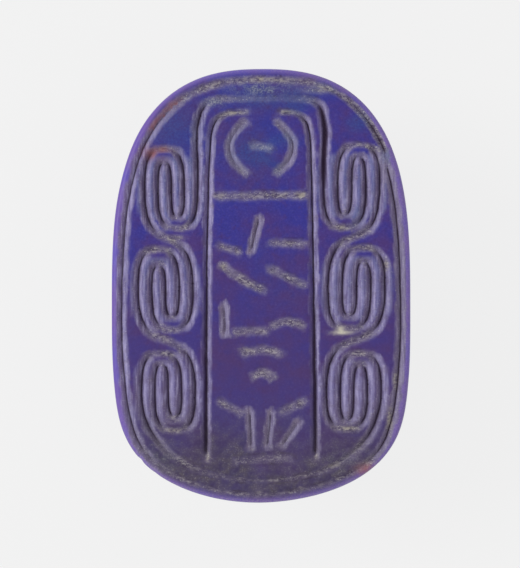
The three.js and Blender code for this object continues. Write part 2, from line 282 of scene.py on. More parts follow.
def scroll_band(scrolls, side):
    """Half of the border's scroll line, from the middle of the top to the middle of the bottom."""
    stretch_end = (side * TOP_STRETCH, BAND_TOP)
    corner = (side * (CORNER_LEFT if side < 0 else CORNER_RIGHT), BAND_TOP)
    start, pull = mirrored(SHOULDER, side), mirrored(SHOULDER_PULL, side)
    parts = [
        np.array([[0, BAND_TOP], stretch_end]),
        bezier(stretch_end, corner, mirrored(CORNER_PULL, side), start),
    ]
    for k, sizes in enumerate(scrolls):
        entry = (sizes["x"] - side * 2 * sizes["pitch"], sizes["y"])
        entry_pull = (entry[0], entry[1] + LINK_PULL * (start[1] - entry[1]))
        parts.append(bezier(start, pull, entry_pull, entry, 60))
        parts += scroll(sizes, side)
        start = (sizes["x"] + side * 2 * sizes["pitch"], sizes["y"])
        if k + 1 < len(scrolls):
            pull = (start[0], start[1] - LINK_PULL * (start[1] - scrolls[k + 1]["y"]))
    sweep_start, sweep_end = (start[0], start[1] - SWEEP_DROP), (side * SWEEP_X, BAND_BOTTOM)
    parts.append(bezier(start, sweep_start, sweep_end, (0, BAND_BOTTOM), 60))
    return np.vstack([parts[0], *(part[1:] for part in parts[1:])])


def column_line(side):
    """One line of the column's frame, from its open top to its lower end."""
    across = COLUMN_LEFT if side < 0 else COLUMN_RIGHT
    start, turn, upper, lower, end = (mirrored((across[name], y), side) for name, y in COLUMN_Y.items())
    turn_pull = mirrored((across["turn"] - TURN_INSET, TURN_PULL_Y), side)
    bend = bezier(start, mirrored(BEND_PULL, side), turn_pull, turn)
    return np.vstack([bend, bezier(turn, upper, lower, end, 80)[1:]])


def stroke(x0, y0, x1, y1, bow=0.0):
    middle = ((x0 + x1) / 2 - (y1 - y0) * bow, (y0 + y1) / 2 + (x1 - x0) * bow)
    ends = np.array([(x0, y0), (x1, y1)])
    pull = ends + (np.array(middle) - ends) * 2 / 3
    return bezier(ends[0], pull[0], pull[1], ends[1], 24)


# ---- engraving as a depth at each place of the base face ----

STATION = 0.03
ATTRIBUTES = ("x", "y", "half", "depth", "slit", "upright", "turn_x", "turn_y")


def stations(path, width, depth, slit, level, seed, closed=False, taper=0.0):
    """Places along one engraved line, with the width, depth and direction of the cut at each."""
    points = resample(path, STATION, closed)
    along = directions(points, closed)
    across = np.column_stack([-along[:, 1], along[:, 0]])
    wander = 0.017 * rough(points, 0.9, seed) + 0.008 * noise(points, 0.25, seed + 5)
    points = points + across * wander[:, None]
    upright = np.abs(along[:, 1])
    uneven = 1 + 0.07 * rough(points, 0.8, seed + 9) + 0.06 * noise(points, 0.2, seed + 11)
    narrowed = level + (1 - level) * ramp(upright, 0.1, 0.8)
    thin_tail = 1 - 0.35 * ramp(-points[:, 1], 8.2, 8.8)
    half = width / 2 * uneven * narrowed * thin_tail
    deep = depth * (0.4 + 0.6 * ramp(upright, 0.2, 0.95)) * (1 + 0.16 * rough(points, 0.7, seed + 14))
    if taper:
        run = np.arange(len(points)) * STATION
        end = np.minimum(run, run[-1] - run)
        deep = deep * (0.35 + 0.65 * ramp(end, 0, taper))
    return dict(x=points[:, 0], y=points[:, 1], half=half, depth=deep, slit=np.full(len(points), slit),
                upright=upright, turn_x=across[:, 0], turn_y=across[:, 1])


def border_path():
    """The line along the edge, nearer to it at the tail, the waist and the upper right."""
    ring = base_outline(0.05)
    x, y = ring[:, 0], ring[:, 1]
    tail = ramp(-y, 6.2, 8.2)
    waist = np.exp(-((y + 1.5) / 2.8) ** 2)
    upper_right = ramp(x, 1.0, 4.0) * ramp(y, 5.6, 6.2)
    return inset(ring, BORDER_INSET - 0.14 * tail - 0.07 * waist - 0.14 * upper_right)


def engraved_lines():
    left = scroll_band(LEFT_SCROLLS, -1)
    right = scroll_band(RIGHT_SCROLLS, 1)
    lines = [
        stations(np.vstack([left, right[::-1][1:]]), **SCROLL_CUT, seed=100, closed=True),
        stations(border_path(), **BORDER_CUT, seed=200, closed=True),
        stations(column_line(-1), **FRAME_CUT, seed=300, taper=0.35),
        stations(column_line(1), **FRAME_CUT, seed=330, taper=0.35),
    ]
    strokes = [stroke(x0, y + y0, x1, y + y1, *bow)
               for y, marks in STROKE_ROWS for x0, y0, x1, y1, *bow in marks]
    for k, path in enumerate(strokes):
        lines.append(stations(path, **STROKE_CUT, seed=400 + 20 * k, taper=0.15))
    return lines


def worn(lines):
    """Joins the lines into one table, changed in places where they are worn and by the cutter's hand."""
    table = {name: np.concatenate([line[name] for line in lines]) for name in ATTRIBUTES}
    x, y = table["x"], table["y"]
    place = np.column_stack([x, y])
    fade = np.ones(len(place))
    for loss, *where in WORN_SPOTS:
        fade *= 1 - loss * spot(place, *where)
    upper_right = ramp(x + y, 10.4, 10.9) * ramp(x, 2.6, 3.6) * ramp(y, 5.9, 6.4)
    right_shoulder = spot(place, 2.93, 6.3, 0.3, 1.5)
    lower_frame = np.exp(-((np.abs(x) - FRAME_X) / 0.2) ** 4) * ramp(-y, -2.0, 3.0)
    left_frame = spot(place, -FRAME_X, 5.0, 0.2, 3.0)
    left_border = ramp(-x, 5.5, 5.8) * ramp(np.abs(y), 7.0, 5.0)
    table["depth"] = table["depth"] * fade * (1 - 0.3 * left_frame) * (1 - 0.15 * left_border)
    table["half"] = table["half"] * (0.65 + 0.35 * fade) * (1 - 0.3 * upper_right)
    wider = 1 + 0.8 * right_shoulder + 0.6 * lower_frame
    table["slit"] = table["slit"] * (1 + 0.7 * upper_right) * wider
    return table


# Share of a cut's depth that its slanting sides take, and that its slit takes.
SIDES_SHARE, SLIT_SHARE = 0.62, 0.38
# Cells that stations are sorted into, wider than any cut reaches.
CELL = 0.6


def section(share, slit, sharp):
    """Depth of a cut at a share of its half width: slanting sides, and a slit in the middle if sharp is 1."""
    slope = np.clip(1 - share, 0, None) ** 1.35
    middle = np.clip(1.3 - share / slit, 0, 1)
    return (SIDES_SHARE * slope + SLIT_SHARE * sharp * middle) / (SIDES_SHARE + SLIT_SHARE * sharp)


def grouped(keys):
    """Row numbers in groups that have the same key."""
    order = np.lexsort(keys.T)
    edges = np.flatnonzero(np.any(np.diff(keys[order], axis=0), axis=1)) + 1
    return np.split(order, edges)


def carved(points, table):
    """Depth of the engraving at flat points, how close each lies to the middle of a cut, the cut's
    direction and slit, and which flank it is on."""
    keys = np.floor(points / CELL).astype(int)
    station_keys = np.floor(np.column_stack([table["x"], table["y"]]) / CELL).astype(int)
    bins = {tuple(station_keys[group[0]]): group for group in grouped(station_keys)}
    uncut = dict(depth=0.0, share=FAR, slit=1.0, upright=1.0, flank=0.0, upper=0.0)
    found = {name: np.full(len(points), value) for name, value in uncut.items()}
    for group in grouped(keys):
        column, row = keys[group[0]]
        around = ((column + i, row + j) for i, j in product((-1, 0, 1), repeat=2))
        near = [bins[key] for key in around if key in bins]
        if not near:
            continue
        near = np.concatenate(near)
        dx = points[group, 0][:, None] - table["x"][near]
        dy = points[group, 1][:, None] - table["y"][near]
        share = np.hypot(dx, dy) / table["half"][near]
        sharp = ramp(table["upright"][near], 0.6, 0.95)
        depth = table["depth"][near] * section(share, table["slit"][near], sharp)
        # The deepest cut counts, and where none reaches, the nearest.
        best = np.argmax(depth - 0.001 * share, axis=1)
        rows = np.arange(len(group))
        chosen = near[best]
        found["depth"][group] = depth[rows, best]
        found["share"][group] = share[rows, best]
        found["upright"][group] = table["upright"][chosen]
        found["slit"][group] = table["slit"][chosen]
        turn_x, turn_y = table["turn_x"][chosen], table["turn_y"][chosen]
        lateral = dx[rows, best] * turn_x + dy[rows, best] * turn_y
        found["flank"][group] = np.sign(lateral * turn_x)
        found["upper"][group] = lateral * turn_y > 0
    return found


def distance_in(points, block=4000):
    """Rough distance from the base's edge, one block of points at a time."""
    ring = base_outline(0.1)
    best = np.full(len(points), FAR)
    for start in range(0, len(points), block):
        some = points[start:start + block]
        gaps = np.hypot(some[:, 0][:, None] - ring[:, 0], some[:, 1][:, None] - ring[:, 1])
        best[start:start + block] = gaps.min(axis=1)
    return best


def top_height(points, table, edge):
    cut = carved(points, table)
    rounding = RIM_ROUND - np.sqrt(np.clip(RIM_ROUND ** 2 - (RIM_ROUND - edge) ** 2, 0, None))
    drop = np.where(edge < RIM_ROUND, rounding, 0)
    face = HEIGHT - FACE_DROP - drop - 0.04 * ramp(edge, 0.45, 0.1)
    face += 0.008 * rough(points, 2.4, 700) + 0.0025 * noise(points, 0.35, 710)
    inside = ramp(cut["share"], 1.25, 0.9)
    level = 1 - ramp(cut["upright"], 0.3, 0.8)
    grain = (0.010 + 0.022 * level) * noise(points, 0.13, 720) + 0.008 * noise(points, 0.07, 730)
    lip = 0.015 * ramp(cut["share"], 1.5, 1.0)
    pits = 0.05 * spots(points, PITTED_SPOTS) * (noise(points, 0.16, 740) - 0.2)
    return np.minimum(face - cut["depth"] - lip + grain * inside + pits, HEIGHT)


# ---- meshes ----

def mesh_object(name, vertices, faces):
    mesh = bpy.data.meshes.new(name)
    mesh.from_pydata(np.asarray(vertices).tolist(), [], faces)
    mesh.update()
    made = bpy.data.objects.new(name, mesh)
    scene.collection.objects.link(made)
    return made


def loft(name, rings):
    """Closed solid through rings of equal length, with flat ends."""
    count = len(rings[0])
    vertices = np.concatenate(rings)
    faces = []
    for r in range(len(rings) - 1):
        for i in range(count):
            a, b = r * count + i, r * count + (i + 1) % count
            faces.append((a, b, b + count, a + count))
    last = (len(rings) - 1) * count
    faces.append(tuple(range(count - 1, -1, -1)))
    faces.append(tuple(range(last, last + count)))
    return mesh_object(name, vertices, faces)


def flat_ring(ring, z):
    return np.column_stack([ring, np.full(len(ring), z)])


def apply_modifier(piece, kind, **settings):
    modifier = piece.modifiers.new(kind.lower(), kind)
    for name, value in settings.items():
        setattr(modifier, name, value)
    bpy.context.view_layer.objects.active = piece
    with bpy.context.temp_override(object=piece, active_object=piece, selected_objects=[piece]):
        bpy.ops.object.modifier_apply(modifier=modifier.name)


def combine(piece, other, operation):
    """A boolean with another object, which is then gone."""
    apply_modifier(piece, "BOOLEAN", operation=operation, solver="MANIFOLD", object=other)
    bpy.data.objects.remove(other)


def joined(pieces):
    first = pieces[0]
    with bpy.context.temp_override(active_object=first, object=first, selected_editable_objects=pieces,
                                   selected_objects=pieces):
        bpy.ops.object.join()
    return first


def triangulated(piece):
    """Cuts the piece into triangles, first taking out the points that only split an edge."""
    mesh = bmesh.new()
    mesh.from_mesh(piece.data)
    bmesh.ops.dissolve_verts(mesh, verts=[point for point in mesh.verts if len(point.link_edges) == 2])
    bmesh.ops.triangulate(mesh, faces=mesh.faces)
    mesh.to_mesh(piece.data)
    mesh.free()


def vectors(items, name):
    """One vector of each vertex, such as its place or its normal."""
    found = np.empty(len(items) * 3, np.float32)
    items.foreach_get(name, found)
    return found.reshape(-1, 3).astype(float)


# ---- the engraved plate ----

# Spacing of points: round the outline, along the lines and in the rest, and the least gap that is kept.
RING_SPACING, RIBBON_SPACING, FILL_SPACING, POINT_GAP = 0.08, 0.084, 0.16, 0.045
# Rings that round the rim off, as distances from the outline, and where the other points begin.
RIM_STEPS, INNER_EDGE = (0.03, 0.075, 0.13, 0.19, 0.26), 0.32
# Where points lie across a line, as shares of its half width, and how much nearer another may pass.
RIBBON_SHARES, RIBBON_OVERLAP = (0, 0.27, -0.27, 0.6, -0.6, 1.0, -1.0, 1.3, -1.3), 0.12
# The plate's wall and underside, downwards: how far in from the outline, and how high.
WALL_LEVELS = [(0.0, HEIGHT - 0.45), (0.0, HEIGHT - 0.7), (0.0, UNDER + 0.3), (0.04, UNDER + 0.13),
               (0.13, UNDER + 0.04), (0.3, UNDER), (0.9, UNDER), (1.7, UNDER)]


def ribbon_points(line, table):
    """Points that follow one line: its middle, its slit and its two flanks out to the lips."""
    step = max(int(round(RIBBON_SPACING / STATION)), 1)
    pick = np.arange(0, len(line["x"]), step)
    middle = np.column_stack([line["x"][pick], line["y"][pick]])
    across = np.column_stack([line["turn_x"][pick], line["turn_y"][pick]])
    half = line["half"][pick]
    layers = []
    for share in RIBBON_SHARES:
        points = middle + across * (share * half)[:, None]
        seen = carved(points, table)["share"]
        layers.append(points[seen > abs(share) - RIBBON_OVERLAP])
    return layers


def thinned(layers, gap):
    """Joins layers of points, leaving out any that comes closer than gap to an earlier one."""
    taken = {}
    kept = []
    for x, y in np.concatenate(layers).tolist():
        i, j = int(x // gap), int(y // gap)
        crowd = (taken.get((i + a, j + b)) for a, b in product((-1, 0, 1), repeat=2))
        if all(p is None or math.hypot(p[0] - x, p[1] - y) > gap for p in crowd):
            taken[i, j] = (x, y)
            kept.append((x, y))
    return np.array(kept)


def scattered_points():
    xs = np.arange(-HALF_WIDTH, HALF_WIDTH, FILL_SPACING)
    ys = np.arange(-HALF_LENGTH, HALF_LENGTH, FILL_SPACING)
    grid = np.array(list(product(xs, ys)))
    return grid + np.random.default_rng(5).uniform(-0.3, 0.3, grid.shape) * FILL_SPACING


def engraved_face(ring, lines, table):
    """The upper face within a ring: its vertices, its faces, and which vertices are the ring's."""
    layers = [layer for line in lines for layer in ribbon_points(line, table)]
    layers.sort(key=len, reverse=True)
    inner = thinned([*layers, scattered_points()], POINT_GAP)
    inner = inner[distance_in(inner) > INNER_EDGE]
    flat = np.vstack([ring, *(inset(ring, distance) for distance in RIM_STEPS), inner])
    edge = np.concatenate([np.repeat((0.0, *RIM_STEPS), len(ring)), distance_in(inner)])
    z = top_height(flat, table, edge)
    outline = list(range(len(ring)))
    flat_vectors = [Vector(point) for point in flat.tolist()]
    _, _, faces, sources, _, _ = delaunay_2d_cdt(flat_vectors, [], [outline], 1, 1e-7)
    kept = [source[0] for source in sources]
    position = {source: k for k, source in enumerate(kept)}
    vertices = np.column_stack([flat, z])[kept].tolist()
    return vertices, [tuple(face) for face in faces], [position[i] for i in outline]


def base_plate(lines, table):
    """Closed plate with the engraving in its upper face."""
    ring = base_outline(RING_SPACING)
    vertices, faces, above = engraved_face(ring, lines, table)
    for distance, level in WALL_LEVELS:
        first = len(vertices)
        vertices += flat_ring(inset(ring, distance), level).tolist()
        below = list(range(first, first + len(ring)))
        for i in range(len(ring)):
            j = (i + 1) % len(ring)
            faces.append((above[j], above[i], below[i], below[j]))
        above = below
    faces.append(tuple(above[::-1]))
    return mesh_object("plate", vertices, faces)


# ---- the beetle ----

# The head, from the chest forwards: y, half width, lowest and highest z.
HEAD_SECTIONS = [
    (5.2, 3.0, 2.6, 6.6), (6.4, 2.9, 2.85, 6.5), (7.4, 2.5, 3.25, 6.2),
    (8.1, 2.3, 3.8, 5.8), (8.9, 2.1, 4.45, 5.5), (9.4, 1.5, 4.8, 5.35),
]
HEAD_SQUARING = 0.7
EYE_PLACE, EYE_SHAPE, EYE_RADIUS = (2.95, 6.7, 4.35), (0.8, 1.15, 0.9), 0.85

# The legs of one side: y, z and distance in from the outline along each, then its radius.
LEGS = [
    ([(3.0, 5.5, 1.5), (4.6, 6.25, 1.1), (6.4, 6.8, 0.9), (8.0, 6.95, 0.9), (8.9, 7.0, 1.0)], 0.62),
    ([(2.2, 5.6, 1.3), (0.6, 6.2, 1.0), (-1.4, 6.8, 0.9), (-2.9, 7.1, 0.9)], 0.58),
    ([(-0.9, 5.5, 1.4), (-3.0, 6.1, 1.0), (-5.6, 6.7, 0.9), (-7.6, 6.95, 0.9), (-8.7, 7.0, 1.0)], 0.62),
]
LEG_TAPER, KNEE_DEPTH, KNEE_REACH = 0.3, 0.16, 0.05

CHEST_Y = 2.1
BACK_LINE_REACH, BACK_LINE_DEPTH = 0.22, 0.22
# Size of the cells that melt the beetle's parts together.
VOXEL = 0.12


def dome():
    """The wing cases and the chest, as half an egg with a rounded lower rim."""
    sides, steps = 160, 44
    angle = np.linspace(0, 2 * np.pi, sides, endpoint=False)
    across, along = np.cos(angle), np.sin(angle)
    reach = 1 / (np.abs(across) ** DOME_POWER + np.abs(along) ** DOME_POWER) ** (1 / DOME_POWER)
    plan = np.column_stack([DOME_HALF_WIDTH * reach * across, DOME_HALF_LENGTH * reach * along])
    middle = [0, WIDEST_Y]
    lowest = math.asin(DOME_RIM_Z / DOME_DEPTH)
    tilts = np.linspace(lowest, 0, steps)
    rings = [flat_ring(plan * math.cos(tilt) + middle, DOME_RIM_Z - DOME_DEPTH * math.sin(tilt))
             for tilt in tilts]
    for size, rise in ((0.985, 0.6), (0.95, 1.0)):
        rings.append(flat_ring(plan * size + middle, DOME_RIM_Z + RIM_BAND * rise))
    return loft("dome", rings)


def core():
    """What joins the dome to the plate, behind the legs."""
    ring = inset(base_outline(0.2), CORE_INSET)
    bottom, top = DOME_RIM_Z - CORE_IN_DOME, UNDER + CORE_IN_PLATE
    return loft("core", [flat_ring(ring, bottom), flat_ring(ring, top)])


def head():
    sections = np.array(HEAD_SECTIONS)
    angle = np.linspace(0, 2 * np.pi, 64, endpoint=False)
    squared = lambda value: np.sign(value) * np.abs(value) ** HEAD_SQUARING
    rings = []
    for y in np.linspace(sections[0, 0], sections[-1, 0], 40):
        half, lowest, highest = (np.interp(y, sections[:, 0], sections[:, k]) for k in (1, 2, 3))
        x = half * squared(np.cos(angle))
        z = (lowest + highest) / 2 + (highest - lowest) / 2 * squared(np.sin(angle))
        rings.append(np.column_stack([x, np.full(len(x), y), z]))
    return loft("head", rings[::-1])


def eye(side):
    bpy.ops.mesh.primitive_uv_sphere_add(segments=32, ring_count=20, radius=EYE_RADIUS)
    ball = bpy.context.active_object
    x, y, z = EYE_PLACE
    ball.data.transform(Matrix.Translation((side * x, y, z)) @ Matrix.Diagonal((*EYE_SHAPE, 1)))
    return ball


def leg_path(places, side):
    places = np.array(places)
    share = np.linspace(0, 1, len(places))
    fine = np.linspace(0, 1, 60)
    width = 9
    kernel = np.ones(width) / width
    smooth = lambda values: np.convolve(np.pad(values, width // 2, mode="edge"), kernel, mode="valid")
    y, z, depth = (smooth(np.interp(fine, share, places[:, k])) for k in range(3))
    return np.column_stack([side * (half_width(y) - depth), y, z])


def leg(places, radius, side):
    path = leg_path(places, side)
    along = directions(path)
    wide = np.cross(along, [0.0, 0.0, 1.0])
    wide /= np.linalg.norm(wide, axis=1, keepdims=True)
    high_side = np.cross(wide, along)
    angle = np.linspace(0, 2 * np.pi, 24, endpoint=False)
    rings = []
    for k, centre in enumerate(path):
        share = k / (len(path) - 1)
        knee = math.exp(-((share - 0.5) / KNEE_REACH) ** 2)
        thick = radius * (1 - LEG_TAPER * share) * (1 - KNEE_DEPTH * knee)
        ring = centre + thick * (np.outer(np.cos(angle), wide[k]) + np.outer(np.sin(angle), high_side[k]))
        rings.append(ring)
    return loft("leg", rings)


def dome_height(x, y):
    share = (np.abs(x / DOME_HALF_WIDTH) ** DOME_POWER
             + np.abs((y - WIDEST_Y) / DOME_HALF_LENGTH) ** DOME_POWER) ** (1 / DOME_POWER)
    return np.maximum(0, DOME_RIM_Z - DOME_DEPTH * np.sqrt(np.clip(1 - share ** 2, 0, None)))


def back_lines():
    """Flat paths of the back's lines: chest, middle, shoulder notches and head."""
    y = CHEST_Y
    lines = [
        bezier((-6.15, y - 1.0), (-2.6, y + 0.35), (2.6, y + 0.35), (6.15, y - 1.0), 80),
        np.array([[0, y + 0.05], [0, WIDEST_Y - DOME_HALF_LENGTH + 0.05]]),
    ]
    for side in (-1, 1):
        lines.append(np.array([[side * 3.9, y - 0.25], [side * 4.5, y - 1.9], [side * 5.4, y - 0.7]]))
        lines.append(bezier((side * 3.3, 5.2), (side * 2.0, 5.9), (side * 0.8, 6.0), (0, 6.0)))
    return lines


def carve_back(piece, block=60):
    """Presses the back's lines into the beetle, and gives its skin a hand-cut unevenness."""
    points = vectors(piece.data.vertices, "co")
    push = vectors(piece.data.vertex_normals, "vector")
    depth = 0.02 * rough(points, 1.6, 900) + 0.006 * noise(points, 0.3, 910)
    for path in back_lines():
        flat = resample(path, 0.05)
        line = np.column_stack([flat, dome_height(flat[:, 0], flat[:, 1])])
        best = np.full(len(points), FAR)
        for start in range(0, len(line), block):
            gaps = np.linalg.norm(points[:, None, :] - line[None, start:start + block], axis=2)
            best = np.minimum(best, gaps.min(axis=1))
        depth = depth + BACK_LINE_DEPTH * np.clip(1 - best / BACK_LINE_REACH, 0, 1)
    points = points - push * depth[:, None]
    points[:, 2] = np.maximum(points[:, 2], 0)
    piece.data.vertices.foreach_set("co", points.astype(np.float32).ravel())
    piece.data.update()


def beetle():
    parts = [dome(), core(), head(), eye(-1), eye(1)]
    parts += [leg(places, radius, side) for side in (-1, 1) for places, radius in LEGS]
    body = joined(parts)
    apply_modifier(body, "REMESH", mode="VOXEL", voxel_size=VOXEL, adaptivity=0.0)
    apply_modifier(body, "SMOOTH", factor=0.5, iterations=4)
    carve_back(body)
    return body


def bore():
    """The string hole's shape: a slightly uneven rod that widens at both ends."""
    angle = np.linspace(0, 2 * np.pi, 40, endpoint=False)
    rings = []
    for y in np.linspace(-HALF_LENGTH - 1, HALF_LENGTH + 1, 60):
        flare = BORE_FLARE * ramp(abs(y), 7.5, 9.5)
        radius = BORE_RADIUS * (1 + 0.03 * math.sin(y * 1.7)) + flare
        rings.append(np.column_stack([radius * np.cos(angle), np.full(len(angle), y),
                                      BORE_Z + radius * np.sin(angle)]))
    return loft("bore", rings[::-1])


# ---- colour masks at the vertices ----

# Soil in the cuts: x, y and reaches.
TAN_SPOTS = [
    (-1.15, 7.95, 0.42, 0.1), (1.2, 8.02, 0.25, 0.08), (3.6, 2.66, 0.2, 0.13), (-0.1, -9.52, 0.16, 0.09),
    (1.8, -9.33, 0.16, 0.09), (-4.0, -6.68, 0.5, 0.1), (3.87, -6.6, 0.5, 0.1), (0.45, 9.5, 1.8, 0.12),
    (2.6, 9.0, 0.7, 0.16), (-1.85, 4.1, 0.2, 0.2), (1.9, 4.15, 0.2, 0.2), (-1.75, 0.9, 0.14, 0.14),
    (-2.5, -7.95, 0.15, 0.2), (5.75, 0.95, 0.1, 0.25), (-3.9, 2.2, 0.35, 0.12), (6.2, -4.4, 0.12, 0.35),
    (5.9, -6.1, 0.14, 0.5), (2.5, -7.95, 0.12, 0.16), (-0.7, -2.95, 0.3, 0.1), (3.3, -8.3, 0.4, 0.12),
]
# Strength, x, y and reach of rubbed cuts, blue-green clouds, rust on left flanks, scuffs and a chip.
RUBBED_SPOTS = [(0.6, 0.8, BAND_TOP, 1.5, 0.3), (0.2, 0, -8.0, 1.5, 0.25)]
TEAL_SPOTS = [(1.0, 0, 8.6, 1.6, 0.5), (0.6, -0.4, 6.2, 1.3), (0.9, -4.0, 7.2, 1.3)]
RUST_SPOTS = [(1.0, -4.75, 7.4, 0.5, 0.5), (0.8, -4.0, 8.15, 0.6, 0.5)]
SCUFF_SPOTS = [(1.0, 0.0, 9.03, 1.25, 0.26), (1.0, -2.15, 8.4, 0.45, 0.2)]
CHIP_SPOTS = [(1.0, 3.72, -2.18, 0.42, 0.08), (1.0, 3.66, -2.02, 0.14, 0.12)]
# One more rusty cut, rust on the plain rim, and a stretch of rim that is pale across.
RUST_IN_CUT, RUST_AT_RIM = (-4.8, 6.15, 0.6, 0.35), (4.85, -8.5, 0.45, 0.25)
BRIGHT_RIM = (5.85, 5.7, 0.3, 0.45)


class Face:
    """What the masks have to know at each vertex."""

    def __init__(self, piece, table):
        points = vectors(piece.data.vertices, "co")
        self.flat = points[:, :2]
        self.x, self.y, z = points.T
        self.top = ramp(z, HEIGHT - 0.75, HEIGHT - 0.6)
        self.cut = carved(self.flat, table)
        self.share = self.cut["share"]
        self.level = 1 - ramp(self.cut["upright"], 0.35, 0.9)
        self.left_flank = self.cut["flank"] < 0
        self.inwards = distance_in(self.flat)
        self.edge = ramp(self.inwards, 1.0, 0.8)
        self.left_edge = self.edge * ramp(-self.x, 1.5, 3.0)
        self.right_edge = self.edge * ramp(self.x, 1.5, 3.0)
        self.frames = np.exp(-((np.abs(self.x) - FRAME_X) / 0.35) ** 4)
        self.tail = ramp(-self.y, 4.5, 9.0)
        self.patches = ramp(rough(self.flat, 0.45, 820), -0.25, 0.45)
        self.tan = sum(spot(self.flat, *place) for place in TAN_SPOTS)
        self.crest = self.on_scrolls()

    def on_scrolls(self):
        """1 on the scrolls, where the stone between the lines is matt too."""
        found = np.zeros(len(self.flat))
        for sizes in (*LEFT_SCROLLS, *RIGHT_SCROLLS):
            across = np.abs((self.x - sizes["x"]) / (2 * sizes["pitch"] + 0.4)) ** 6
            along = np.abs((self.y - sizes["y"]) / 1.55) ** 4
            found = np.maximum(found, ramp(across + along, 1.1, 0.5))
        return found


def matt_cuts(face):
    """Cut surfaces: sharp to the lips of the upright cuts, frayed in the level ones."""
    ragged = 0.1 * noise(face.flat, 0.3, 810) + face.level * 0.12 * noise(face.flat, 0.14, 812)
    lip = ramp(face.share + ragged, 1.1, 0.85)
    middle = ramp(face.share + ragged, 1.2, 0.2)
    matt = lip * (1 - face.level) + middle * face.level * (0.75 + 0.25 * face.patches)
    lower = ramp(face.y, 4, 0)
    dulled = 0.1 * face.left_edge + 0.12 * face.right_edge + (0.35 + 0.3 * lower) * face.frames
    matt *= 1 - dulled * face.left_flank * (1 - face.level)
    matt *= 1 - spots(face.flat, RUBBED_SPOTS)
    matt = np.maximum(matt, 0.6 * face.crest)
    return face.top * np.maximum(matt, 0.85 * np.clip(face.tan, 0, 1))


def dark_lines(face):
    """The dark slits of the upright cuts, painted shade with some dark deposit, and the shaded seams of the
    level ones.
    """
    sharp = ramp(face.cut["upright"], 0.62, 0.95)
    slit = ramp(face.share / face.cut["slit"], 1.3, 0.5) * sharp * ramp(face.cut["depth"], 0.1, 0.2)
    seam = np.maximum(face.cut["upper"], face.tail * ramp(face.inwards, 0.4, 0.55))
    by_lip = np.exp(-((face.share - 0.85) / 0.25) ** 2) * ramp(face.share, 1.2, 1.0)
    shadow = face.level * seam * by_lip * face.patches
    return face.top * (slit * (1 - 0.1 * face.left_edge) + (0.5 + 0.3 * face.edge + 0.5 * face.tail) * shadow)


def soiled(face, matt):
    """Soil in the level cuts, at the upper right, towards the tail and in single spots."""
    corner = face.right_edge * ramp(face.y, 6.0, 6.4)
    in_level = face.level * (0.65 + 0.35 * face.patches)
    return matt * np.clip(in_level + 0.35 * face.tail * face.patches + 0.8 * corner + face.tan, 0, 1)


def tan_soil(face, matt):
    dusty = 0.1 * face.level * matt * ramp(rough(face.flat, 0.7, 822), 0.15, 0.6)
    return face.top * np.clip(face.tan * (0.75 + 0.5 * face.patches) + dusty, 0, 1)


def right_flanks(face):
    """Painted light and shade on the cuts' flanks: 1 on the right flanks, painted lighter as lit from the
    left, 0 on the left ones, painted darker as shaded, 0.5 elsewhere.
    """
    side = face.cut["flank"] * ramp(face.share, 0.05, 0.3) * ramp(face.share, 1.15, 0.95) * (1 - face.level)
    right_frame = face.frames * (face.x > 0)
    strength = 0.8 + 0.05 * face.left_edge - 0.2 * face.right_edge - 0.25 * right_frame
    return 0.5 + 0.5 * side * strength


def rim_light(face):
    """Painted light along the rim outside the border line, wider at the sides and across one stretch at the
    upper right.
    """
    sides = ramp(np.abs(face.x), 4.5, 6.0)
    rim = ramp(face.inwards - 0.2 * sides, 0.36, 0.05 + 0.1 * sides)
    return face.top * (rim + 0.6 * spot(face.flat, *BRIGHT_RIM))


def tail_film(face, matt, rim):
    """Brownish film towards the tail end, rubbed off by the rim."""
    rubbed = 1 - 0.5 * ramp(face.inwards, 0.5, 0.3)
    cloudy = 0.9 + 0.5 * rough(face.flat, 1.2, 830)
    return face.top * (1 - 0.8 * matt) * (1 - rim) * np.clip(rubbed * face.tail * cloudy, 0, 1)


def teal_clouds(face):
    """Blue-green clouds, mostly towards the head end, and on the scrolls' ridges."""
    clouds = ramp(rough(face.flat, 1.5, 840), 0.1, 0.7) * (0.15 + 0.85 * ramp(face.y, 1.0, 6.0))
    ridges = 0.6 * face.crest * ramp(face.share, 0.6, 1.0) * ramp(face.y, -8, 5)
    return face.top * (clouds + spots(face.flat, TEAL_SPOTS) + ridges)


def rust_stains(face, matt):
    """Rust in the cuts at the upper left and on the rim at the lower right."""
    left_flanks = (0.15 + 0.85 * face.left_flank) * spots(face.flat, RUST_SPOTS)
    in_cuts = np.clip(0.1 + matt, 0, 1) * np.clip(left_flanks + spot(face.flat, *RUST_IN_CUT), 0, 1)
    return face.top * np.maximum(in_cuts, spot(face.flat, *RUST_AT_RIM))


def grey_cuts(face):
    """Where cuts are grey: at the tail and head ends, in the column and on the right."""
    column = ramp(np.abs(face.x), 2.3, 2.0) * (1 - face.edge)
    right_level = face.level * ramp(face.x, 2.3, 2.6) * ramp(face.y, 4.5, 3.5)
    at_head = ramp(face.y, 7.5, 9.2)
    shares = [face.tail, 0.6 * face.right_edge, 0.5 * column, 0.5 * right_level, 0.45 * at_head]
    return face.top * np.max(shares, axis=0)


def paint(piece, name, *channels):
    values = np.ones((len(channels[0]), 4), np.float32)
    values[:, :3] = np.clip(np.column_stack(channels), 0, 1)
    attribute = piece.data.attributes.new(name, "FLOAT_COLOR", "POINT")
    attribute.data.foreach_set("color", values.ravel())


